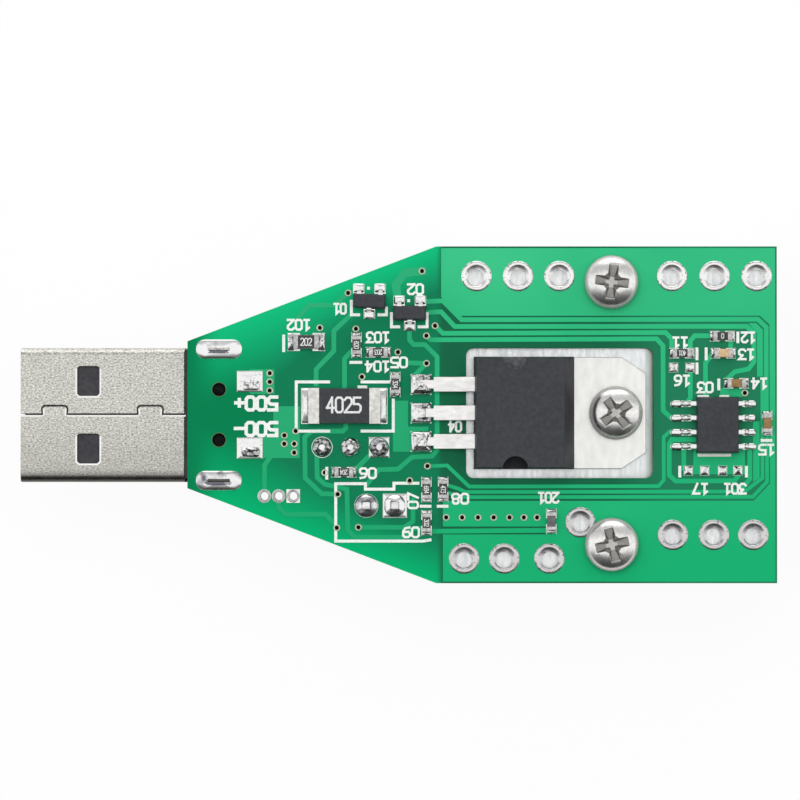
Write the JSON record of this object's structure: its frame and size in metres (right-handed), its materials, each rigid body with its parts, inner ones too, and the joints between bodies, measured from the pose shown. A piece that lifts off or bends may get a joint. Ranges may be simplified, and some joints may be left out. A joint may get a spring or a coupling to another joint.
{
  "type": "electronic load",
  "caption": "Stick-type electronic load: tapered circuit board with a USB plug, a power transistor screwed to a finned heat sink, a shunt resistor and a multi-turn trimmer.",
  "frame": {"origin": "middle of the bounding box in plan, on the plane of the fin tips", "axes": "+X from the plug to the heat sink, +Z from the fin tips to the component side of the board"},
  "size_m": [0.0676, 0.03, 0.0195],
  "materials": {
    "solder_mask": "green solder mask over copper, satin gloss",
    "tin": "bright solder",
    "lead_tin": "matt tin plating",
    "nickel_shell": "nickel plated sheet, fine grain",
    "plug_plastic": "moulded",
    "gold_plate": "polished plating",
    "heat_sink_metal": "extruded, bare",
    "screw_steel": "nickel plated",
    "tab_metal": "matt tin plating",
    "package_black": "moulded epoxy",
    "resistor_coat": "dark glass coat",
    "thermistor_grey": "sintered",
    "capacitor_tan": "sintered",
    "capacitor_brown": "sintered",
    "trimmer_blue": "moulded",
    "potting": "cast resin",
    "alumina": "sintered",
    "seal_rubber": "moulded",
    "brass": "turned",
    "white_nylon": "moulded"
  },
  "bodies": {
    "load": {"circuit_board": "solder_mask", "edge_hole_platings": "tin", "tinned_pads": "tin", "plug_shell": "nickel_shell", "plug_insulator": "plug_plastic", "plug_tab_solder": "tin", "plug_contact_1": "gold_plate", "plug_contact_2": "gold_plate", "plug_contact_3": "gold_plate", "plug_contact_4": "gold_plate", "heat_sink": "heat_sink_metal", "transistor_screw": "screw_steel", "board_screws": "screw_steel", "transistor_body": "package_black", "transistor_tab": "tab_metal", "transistor_solder": "tin", "transistor_lead_1": "lead_tin", "transistor_lead_2": "lead_tin", "transistor_lead_3": "lead_tin", "shunt_body": "resistor_coat", "shunt_terminals": "lead_tin", "amplifier_body": "package_black", "amplifier_leads": "lead_tin", "reference_body": "package_black", "reference_leads": "lead_tin", "switch_body": "package_black", "switch_leads": "lead_tin", "large_resistor": "resistor_coat", "thermistor": "thermistor_grey", "chip_end_caps": "lead_tin", "chip_resistor_1": "resistor_coat", "chip_resistor_2": "resistor_coat", "chip_resistor_3": "resistor_coat", "chip_resistor_4": "resistor_coat", "chip_resistor_5": "resistor_coat", "chip_resistor_6": "resistor_coat", "chip_resistor_7": "resistor_coat", "chip_resistor_8": "resistor_coat", "chip_resistor_9": "resistor_coat", "chip_capacitor_1": "capacitor_tan", "chip_capacitor_2": "capacitor_brown", "chip_capacitor_3": "capacitor_brown", "trimmer_housing": "trimmer_blue", "trimmer_base": "potting", "trimmer_element": "alumina", "trimmer_pins": "lead_tin", "trimmer_seal": "seal_rubber", "trimmer_solder": "tin", "header_housing": "white_nylon", "header_pins": "lead_tin", "header_solder": "tin"},
    "adjusting_screw": {"trimmer_screw": "brass"},
    "wiper_rotor": {"trimmer_rotor": "white_nylon", "trimmer_wiper": "brass"}
  },
  "joints": [
    {"name": "trimmer_turn", "type": "hinge", "parent": "load", "child": "adjusting_screw", "pos_m": [-0.00092, -0.0021, 0.00497], "axis": [0, 0, 1], "range_deg": [-4500, 4500]},
    {"name": "wiper_turn", "type": "hinge", "parent": "load", "child": "wiper_rotor", "pos_m": [-0.0046, -0.0021, 0.00994], "axis": [0, 1, 0], "range_deg": [-150.5, 150.5]}
  ],
  "couplings": [
    {"joint": "wiper_turn", "follows": "trimmer_turn", "ratio": 0.033333}
  ]
}
